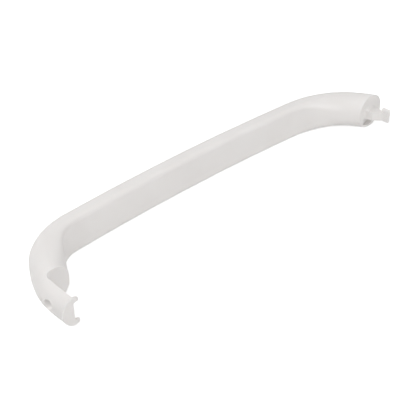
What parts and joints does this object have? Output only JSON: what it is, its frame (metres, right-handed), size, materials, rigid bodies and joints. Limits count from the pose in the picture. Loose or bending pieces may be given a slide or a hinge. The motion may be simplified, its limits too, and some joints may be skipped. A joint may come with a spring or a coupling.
{
  "type": "refrigerator door handle",
  "caption": "Bowed one-piece door handle with a screw-on tongue that wraps the door's edge and a hook at the other end.",
  "frame": {"origin": "where the screw hole's axis leaves the tongue's inner face, at the handle's mid-plane", "axes": "+X along the grip from the screw end to the hook end, +Y away from the door, +Z across the grip"},
  "size_m": [0.3367, 0.0758, 0.0272],
  "materials": {
    "handle": "satin moulded"
  },
  "bodies": {
    "root": {"handle": "handle"}
  },
  "joints": []
}
